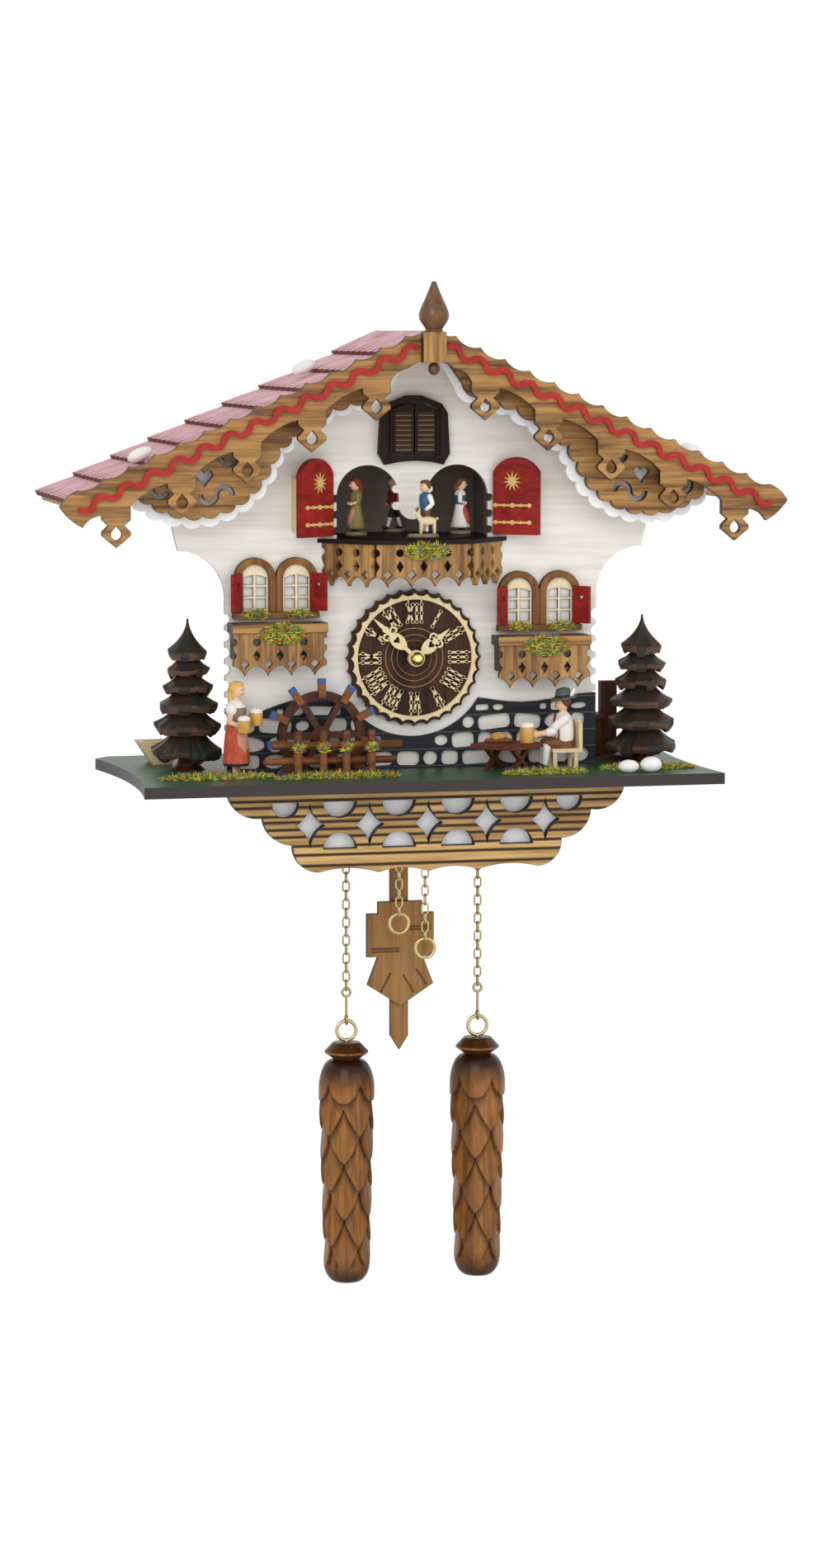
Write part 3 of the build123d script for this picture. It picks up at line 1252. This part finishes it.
def bracket_front():
    """Fretted front board under the plate: concave diamonds between half-rounds."""
    face = bracket_face()
    tips = [(8, 0), (0, 12.4), (-8, 0), (0, -12.4), (8, 0)]
    star = outline(arc_chain(tips, 2.0))
    for k in range(-2, 3):
        face -= Pos(k * BRACKET_PITCH, BRACKET_Z) * star
    for k in (-1.5, -0.5, 0.5, 1.5):
        face -= Pos(k * BRACKET_PITCH, BRACKET_Z + 12.5) * half_disc(9.1, 8.6)
        face -= Pos(k * BRACKET_PITCH, BRACKET_Z - 12.6) * Rot(0, 0, 180) * half_disc(9.1, 8.6)
    for side in (-1, 1):
        face -= Pos(side * 77.2, BRACKET_Z + 12.5) * half_disc(7.0, 8.2)
    return board(face, BRACKET_FRONT - BRACKET_T, BRACKET_T)


def bracket_backing():
    """Pale board on the back of the fretwork."""
    low = BRACKET_Z - 18
    waist = BRACKET_Z + 1.3
    face = polygon((-96, -PLATE_T), (96, -PLATE_T), (82, waist), (58, low), (-58, low), (-82, waist))
    return board(face, BRACKET_FRONT - BRACKET_T - BRACKET_BACKING_T, BRACKET_BACKING_T)


# Pendulum, chains and weights

def stroke(start, end, width):
    """Straight strip of a width between two points."""
    dx, dz = end[0] - start[0], end[1] - start[1]
    middle = ((start[0] + end[0]) / 2, (start[1] + end[1]) / 2)
    return Pos(*middle) * Rot(0, 0, degrees(atan2(dz, dx))) * Rectangle(hypot(dx, dz), width)


def pendulum():
    """Pendulum: a flat rod with an eye, and the layered leaf bob on its front."""
    back = PENDULUM_DEPTH - PENDULUM_T / 2
    half = PENDULUM_ROD_WIDTH / 2
    tip = PENDULUM_TIP_Z
    top = PENDULUM_PIVOT_Z
    rod_face = polygon((-half, tip + 8), (0, tip), (half, tip + 8), (half, top), (-half, top))
    rod_face += Pos(0, PENDULUM_PIVOT_Z) * Circle(half)
    rod_face -= Pos(0, PENDULUM_PIVOT_Z) * Circle(PENDULUM_PIN_R + RUN_CLEARANCE)
    shaft = board(rod_face, back, PENDULUM_T)
    front = back + PENDULUM_T
    plate = Pos(0, -95.5) * Rectangle(37.6, 24) + Pos(0, -81) * Rectangle(25, 8)
    plate += polygon((-12.4, -107), (12.4, -107), (18.5, -123), (0, -135), (-18.5, -123))
    leaf = board(plate, front, PENDULUM_LEAF_T)
    grooves = (
        ((-16, -103), (-0.7, -103)), ((-16, -104.6), (-0.7, -104.6)), ((4, -91), (17, -91)), ((4, -92.6), (17, -92.6)),
        ((-5.6, -116.6), (-11, -127)), ((1.6, -118), (7.5, -127.5)), ((9, -115), (14.5, -123.5)),
    )
    for start, end in grooves:
        leaf -= board(stroke(start, end, GROOVE_WIDTH), front + PENDULUM_LEAF_T - GROOVE_DEPTH, 2)
    return fused(shaft, leaf)


def chain_link():
    """One round-ended wire link, upright in the XZ plane about its own middle."""
    r = (CHAIN_LINK_WIDTH - CHAIN_WIRE) / 2
    straight = CHAIN_LINK_LENGTH - CHAIN_LINK_WIDTH
    bend = Pos(r, 0, 0) * Circle(CHAIN_WIRE / 2)
    top = revolve(bend, Axis.Y, 180)
    if top.center().Z < 0:
        top = mirror(top, about=Plane.XY)
    link = Pos(0, 0, straight / 2) * top
    link += mirror(link, about=Plane.XY)
    for side in (-1, 1):
        link += rod((side * r, 0, -straight / 2), (side * r, 0, straight / 2), CHAIN_WIRE / 2)
    return link


def chain(x, count, staple_z):
    """Links hung one in the next from a staple, every other one turned."""
    link = chain_link()
    crossed = Rot(0, 0, 90) * link
    top = staple_z + CHAIN_WIRE / 2 + 0.4 - CHAIN_LINK_LENGTH / 2 + CHAIN_WIRE
    links = []
    for k in range(count):
        form = link if k % 2 == 0 else crossed
        links.append(Pos(x, -CHAIN_DEPTH, top - k * link_pitch) * form)
    low = top - (count - 1) * link_pitch - link_inner / 2 - CHAIN_WIRE
    return links, low


def ring_y(x, z, radius, wire):
    """A wire ring square to the wall's normal."""
    return Pos(x, -CHAIN_DEPTH, z) * Rot(90, 0, 0) * Torus(radius, wire / 2)


def weight_chain(x, count):
    """Weight chain with its hook at the bottom, and the height of the weight's eye."""
    links, low = chain(x, count, WEIGHT_STAPLE_Z)
    r = 2.2
    eye_z = low + CHAIN_WIRE + CHAIN_SLACK - r - HOOK_WIRE / 2 + HOOK_WIRE
    upper = ring_y(x, eye_z, r, HOOK_WIRE)
    bend_z = eye_z - HOOK_LENGTH + 2 * r
    hook = upper + rod((x, -CHAIN_DEPTH, eye_z - r), (x, -CHAIN_DEPTH, bend_z + r), HOOK_WIRE / 2)
    hook += Pos(x, -CHAIN_DEPTH, bend_z) * Rot(0, 90, 0) * Torus(r, HOOK_WIRE / 2)
    return links + [hook], bend_z - r - HOOK_WIRE / 2


def cone_weight(x, hook_low):
    """Pine cone weight: an eye, a turned collar and tiers of flat scales."""
    eye_z = hook_low + HOOK_WIRE + CHAIN_SLACK - EYE_R + EYE_WIRE / 2
    eye = ring_y(x, eye_z, EYE_R, EYE_WIRE)
    top = eye_z - EYE_R - EYE_WIRE / 2
    collar = turned(
        (0, 1.2), (2.2, 1.2), (5.0, 0), (10.0, -2.2), (11.6, -4.6), (10.0, -7.0), (6.6, -8.6), (0, -8.6)
    )
    tiers = 15
    start = 8.6
    height = (CONE_LENGTH - start) / tiers
    body = collar
    for k in range(tiers):
        s = (k + 0.5) / tiers
        full = CONE_BODY_R * sin(pi * min(0.5, 0.16 + s * 1.9)) * (1 - 0.2 * s)
        full *= min(1, ((1 - s) / 0.1) ** 0.5)
        z = -start - k * height
        turn = Rot(0, 0, 180 / CONE_SIDES * (k % 2))
        lower = Pos(0, 0, z - height) * turn * RegularPolygon(full, CONE_SIDES)
        upper = Pos(0, 0, z) * turn * RegularPolygon(full * 0.84, CONE_SIDES)
        body += loft([lower, upper])
    return [eye, Pos(x, -CHAIN_DEPTH, top) * body]


def weight(x, count):
    """A weight chain and its cone."""
    links, hook_low = weight_chain(x, count)
    return links, cone_weight(x, hook_low)


def ring_chain(x, count, staple_z):
    """Chain that ends in a brass pull ring."""
    links, low = chain(x, count, staple_z)
    centre = low + CHAIN_WIRE + CHAIN_SLACK + RING_WIRE - RING_OUTER_R
    ring = ring_y(x, centre, RING_OUTER_R - RING_WIRE / 2, RING_WIRE)
    return links + [ring]


def chain_staples():
    """Staples under the plate: two legs and a bar for each chain's first link."""
    pieces = []
    half = 4.0
    places = [(side * WEIGHT_CHAIN_X, WEIGHT_STAPLE_Z) for side in (-1, 1)]
    places += [(-RING_CHAIN_X, RING_STAPLE_Z[0]), (RING_CHAIN_X, RING_STAPLE_Z[1])]
    for x, z in places:
        bar = pin_y(x, z, CHAIN_DEPTH - half, CHAIN_DEPTH + half, CHAIN_WIRE / 2)
        for side in (-1, 1):
            y = -CHAIN_DEPTH + side * half
            bar += rod((x, y, z), (x, y, -PLATE_T), CHAIN_WIRE / 2)
            bar += Pos(x, y, z) * Sphere(CHAIN_WIRE / 2)
        pieces.append(bar)
    return pieces


# Yard

def fence():
    """Rail fence: four posts in front of two rails."""
    pieces = []
    for z, x0, x1 in ((16.2, -82.2, -12.4), (8.0, -86.3, -15.6)):
        pieces.append(rod((x0, -FENCE_DEPTH, z), (x1, -FENCE_DEPTH, z), 2.0))
    for x in FENCE_POSTS:
        pieces.append(rod((x, -FENCE_DEPTH - 4.2, 0), (x, -FENCE_DEPTH - 4.2, FENCE_HEIGHT), 2.2))
    return pieces


def fir_tree(height, tiers):
    """Carved fir: flared tiers with a cut rim, on a trunk with spread roots."""
    body = turned((0, 0), (9.5, 0), (6.0, 3.0), (5.0, 10), (0, 10))
    tops = [z for z, _ in tiers[1:]] + [height]
    for k, ((z, radius), above) in enumerate(zip(tiers, tops)):
        turn = Rot(0, 0, 360 / TREE_SIDES / 2 * (k % 2))
        rim = min(3.6, (above - z) * 0.4)
        neck = radius * 0.56
        top = above + 0.6 if k < len(tiers) - 1 else above
        last = 0.8 if k == len(tiers) - 1 else neck
        low = Pos(0, 0, z) * turn * RegularPolygon(radius * 0.93, TREE_SIDES)
        edge = Pos(0, 0, z + rim) * turn * RegularPolygon(radius, TREE_SIDES)
        upper = Pos(0, 0, top) * turn * RegularPolygon(last, TREE_SIDES)
        body += loft([low, edge], ruled=True)
        body += loft([edge, upper], ruled=True)
    return body


def fir_trees():
    """Both fir trees."""
    left = ((6.5, 18.5), (20, 16.9), (31.5, 15.9), (42, 13.2), (50.5, 10.8), (59.3, 9.9))
    right = ((6.0, 19.4), (19, 18.0), (30, 15.9), (41, 13.8), (50.5, 12.4), (59.7, 10.5))
    return [
        Pos(TREE_LEFT[0], -TREE_LEFT[1], 0) * fir_tree(81, left),
        Pos(TREE_RIGHT[0], -TREE_RIGHT[1], 0) * fir_tree(80.5, right),
    ]


def trough():
    """Hollow wooden trough with sloping ends."""
    outer = polygon((-142, 12.4), (-134, 0), (-124, 0), (-116, 12.4))
    inner = polygon((-138.6, 13), (-132.4, 3), (-125.6, 3), (-119.4, 13))
    return board(outer, 32, 16) - board(inner, 35, 10)


def wood_rack():
    """Open rack of planks beside the house: ground board, two posts, shelf and roof board."""
    base = block(103.5, 124.5, 58, 82, 0, 2.5)
    back_post = block(112.5, 121.5, 60, 66, 2.5, 42)
    shelf = block(104, 112.5, 58, 76, 22, 24.5)
    prop = block(104.4, 110.4, 60, 74, 2.5, 22)
    return [base, back_post, shelf, prop]


def pebble(length, width, height):
    """Flat-bottomed rounded stone."""
    face = Ellipse(length / 2, width / 2)
    low = extrude(face, amount=height)
    tightest = width ** 2 / length / 2
    return fillet(low.edges().group_by(Axis.Z)[-1], min(height * 0.7, tightest * 0.8))


def pebbles():
    """White stones in the yard and on the roof."""
    pieces = [Pos(106, -143.5, 0) * pebble(11, 8.5, 6.0), Pos(118.5, -143.5, 0) * pebble(12, 9, 7.4)]
    flat = Plane(
        origin=(0, 0, ROOF_APEX_Z), x_dir=(cos(slope), 0, -sin(slope)), z_dir=(sin(slope), 0, cos(slope))
    ).offset(ROOF_T + SHINGLE_T)
    for s, y in ((56, -60), (164, -112)):
        stone = flat * Pos(s, y, 0) * pebble(14, 11, 6.5)
        pieces += [stone, mirrored(stone)]
    return pieces


def garden_furniture():
    """Square table on crossed legs with bread on a board, and a plank chair."""
    x, d = TABLE_SPOT
    turn = Rot(0, 0, 42)
    top = Pos(x, -d, TABLE_TOP_Z - 1.2) * turn * Box(TABLE_SIZE, TABLE_SIZE, 2.4)
    pieces = [top]
    leg_top = TABLE_TOP_Z - 2.4
    for side in (-1, 1):
        cross = board(polygon((-9, 0), (-5.6, 0), (9, leg_top), (5.6, leg_top)), 0, 2.4)
        cross += board(polygon((9, 0), (5.6, 0), (-9, leg_top), (-5.6, leg_top)), 0, 2.4)
        pieces.append(Pos(x, -d, 0) * turn * Pos(0, 1.2 + side * 8.5, 0) * cross)
    tray = Pos(x - 4, -d + 2, TABLE_TOP_Z + 0.7) * turn * Box(13, 9, 1.4)
    loaf = Pos(x - 4, -d + 2, TABLE_TOP_Z + 1.4) * turn * pebble(8.6, 5.4, 3.6)
    pieces += [tray, loaf]
    cx, cd = CHAIR_SPOT
    pieces.append(block(cx - 8, cx + 6.5, cd - 7.5, cd + 7.5, SEAT_Z - 2, SEAT_Z))
    for leg_x in (cx - 6.6, cx + 5.0):
        for leg_d in (cd - 6, cd + 6):
            pieces.append(rod((leg_x, -leg_d, 0), (leg_x, -leg_d, SEAT_Z - 2), 1.3))
    back = polygon((-7.5, 0), (7.5, 0), (7.0, 15), (3.5, 17), (0, 15.4), (-3.5, 17), (-7.0, 15))
    back_plane = Plane(origin=(cx + 6.5, -cd, SEAT_Z - 2), x_dir=(0, 1, 0), z_dir=(1, 0, 0))
    pieces.append(extrude(back_plane * back, amount=1.8))
    return pieces


def mug(x, depth, z):
    """Beer mug with a handle, standing at a height."""
    body = Pos(x, -depth, z) * turned((0, 0), (2.4, 0), (2.5, 5.2), (1.9, 5.2), (1.9, 4.2), (0, 4.2))
    handle = Pos(x + 2.6, -depth, z + 2.6) * Rot(90, 0, 0) * Torus(1.5, 0.45)
    return body + (handle - Pos(x, -depth, z + 2.5) * Cylinder(2.2, 6))


def barmaid():
    """Barmaid walking to the right with a mug in each hand."""
    x, d = BARMAID_SPOT
    figure = mirror(dress_figure(45.5, 8.4, 0.6), about=Plane.YZ)
    feet = Pos(-1.5, 2.2, 1.6) * Box(6, 3, 3.2) + Pos(2, -2.2, 1.6) * Box(6, 3, 3.2)
    legs = rod((-1.5, 2.2, 1), (-1.5, 2.2, 5), 1.4) + rod((2, -2.2, 1), (2, -2.2, 5), 1.4)
    body = Pos(0, 0, 3.6) * figure + feet + legs
    body += Pos(-1.2, 0, 3.6 + 45.5 * 0.93) * Sphere(4.2)
    for side in (-1, 1):
        body += mug(45.5 * 0.17 + 1.6, -side * 45.5 * 0.11, 3.6 + 45.5 * 0.5 - 1.0)
    return Pos(x, -d, 0) * body


def drinker():
    """Seated man with a hat, his upper arm ending in the elbow pin."""
    x, d = CHAIR_SPOT
    h = SEAT_Z + 0.02
    body = turned(
        (0, h), (5.2, h), (5.6, h + 6), (5.4, h + 13), (4.4, h + 17.5), (1.9, h + 19.4), (1.9, h + 21), (0, h + 21)
    )
    body += Pos(-0.6, 0, h + 24.2) * Sphere(4.1)
    hat = h + 26.6
    body += turned((0, hat), (6.2, hat), (6.2, hat + 0.9), (4.1, hat + 0.9), (3.4, hat + 5.0), (0, hat + 5.8))
    for side in (-1, 1):
        body += rod((0, side * 3, h + 2.9), (-9.5, side * 3.2, h + 2.9), 2.8)
        body += Pos(-9.5, side * 3.2, h + 2.9) * Sphere(2.8)
        body += rod((-9.5, side * 3.2, h + 2.9), (-11, side * 3.4, 1.2), 2.4, 1.7)
        body += Pos(-12.6, side * 3.4, 1.25) * Box(6.4, 3, 2.5)
    body = Pos(x - 0.5, -d, 0) * body
    ex, ed, ez = ELBOW
    shoulder = (x - 1.0, -d - 5.2, h + 16.0)
    elbow_back = (ex + 0.4, -ed + 2.6, ez + 0.6)
    body += Pos(*shoulder) * Sphere(2.7)
    body += rod(shoulder, elbow_back, 2.3)
    body += Pos(*elbow_back) * Sphere(2.3)
    body += rod((ex, -ed + 2.6, ez), (ex, -ed - 2.6, ez), ELBOW_PIN_R)
    far_hand = (x - 13.5, -d + 6.4, TABLE_TOP_Z + 2.2)
    far_shoulder = (x - 0.5, -d + 5.2, h + 15.5)
    far_elbow = (x - 4.5, -d + 7.6, h + 8.0)
    body += rod(far_shoulder, far_elbow, 2.3)
    body += Pos(*far_elbow) * Sphere(2.3)
    body += rod(far_elbow, far_hand, 2.1, 1.7)
    body += Pos(*far_hand) * Sphere(1.9)
    body += Pos(*far_shoulder) * Sphere(2.7)
    return body


def drinker_arm():
    """Forearm with the mug, turning on the elbow pin."""
    ex, ed, ez = ELBOW
    joint = rod((ex, -ed - 0.5, ez), (ex, -ed - 2.4, ez), 2.1)
    hand = (ex - 9.2, -ed - 1.4, ez - 1.4)
    body = joint + rod((ex, -ed - 1.4, ez), hand, 0.9, 1.4)
    body += Pos(*hand) * Sphere(1.8)
    body += mirror(mug(0, 0, 0), about=Plane.YZ).moved(Location((ex - 12.2, -ed - 1.4, TABLE_TOP_Z + 0.35)))
    return body - rod((ex, -ed + 3, ez), (ex, -ed - 4, ez), ELBOW_PIN_R + RUN_CLEARANCE)


def build():
    """All pieces by name."""
    shingle_row = shingles()
    barge = bargeboard()
    trim = wavy_trim()
    leaf = cuckoo_leaf()
    left_links, left_cone = weight(-WEIGHT_CHAIN_X, WEIGHT_LINKS[0])
    right_links, right_cone = weight(WEIGHT_CHAIN_X, WEIGHT_LINKS[1])
    return {
        "back_board": back_board(),
        "side_walls": side_walls(),
        "facade": facade(),
        "base_plate": base_plate(),
        "roof_boards": roof_boards(),
        "shingles_left": [mirrored(course) for course in shingle_row],
        "shingles_right": shingle_row,
        "bargeboard_left": mirrored(barge),
        "bargeboard_right": barge,
        "wavy_trim": [trim, mirrored(trim)],
        "gable_lace": gable_lace(),
        "gable_backing": gable_backing(),
        "finial": finial(),
        "cuckoo_frame": cuckoo_frame(),
        "cuckoo_leaf_left": mirrored(leaf),
        "cuckoo_leaf_right": leaf,
        "bird_shelf": bird_shelf(),
        "cuckoo_bird": cuckoo_bird(),
        "stage_lining": stage_lining(),
        "balcony_floor": balcony_floor(),
        "balcony_panels": balcony_panels(),
        "turntable": turntable(),
        "dancers": dancers(),
        "drive_motors": drive_motors(),
        "red_shutters": red_shutters(),
        "shutter_ornaments": shutter_ornaments(),
        "shutter_props": shutter_props(),
        "window_frames": [window_frame(*WINDOW_LEFT), window_frame(*WINDOW_RIGHT)],
        "window_sashes": window_sashes(),
        "flower_boxes": flower_boxes(),
        "flower_clumps": flower_clumps(),
        "dial": dial(),
        "numeral_ring": numeral_ring(),
        "hour_hand": hour_hand(),
        "minute_hand": minute_hand(),
        "hand_nut": hand_nut(),
        "movement_housing": movement_housing(),
        "setting_knob": setting_knob(),
        "loudspeaker": loudspeaker(),
        "stone_cladding": stone_cladding(),
        "mill_wheel": mill_wheel(),
        "bracket_front": bracket_front(),
        "bracket_backing": bracket_backing(),
        "pendulum": pendulum(),
        "chain_left": left_links,
        "cone_left": left_cone,
        "chain_right": right_links,
        "cone_right": right_cone,
        "ring_chain_left": ring_chain(-RING_CHAIN_X, RING_LINKS[0], RING_STAPLE_Z[0]),
        "ring_chain_right": ring_chain(RING_CHAIN_X, RING_LINKS[1], RING_STAPLE_Z[1]),
        "chain_staples": chain_staples(),
        "fence": fence(),
        "fir_trees": fir_trees(),
        "trough": trough(),
        "wood_rack": wood_rack(),
        "pebbles": pebbles(),
        "garden_furniture": garden_furniture(),
        "barmaid": barmaid(),
        "drinker": drinker(),
        "drinker_arm": drinker_arm(),
    }


os.makedirs("parts", exist_ok=True)
for name, shape in build().items():
    group = Compound(children=list(shape)) if isinstance(shape, list) else shape
    export_step(Pos(0, 0, -HANGER_HEIGHT) * group, f"parts/{name}.step")
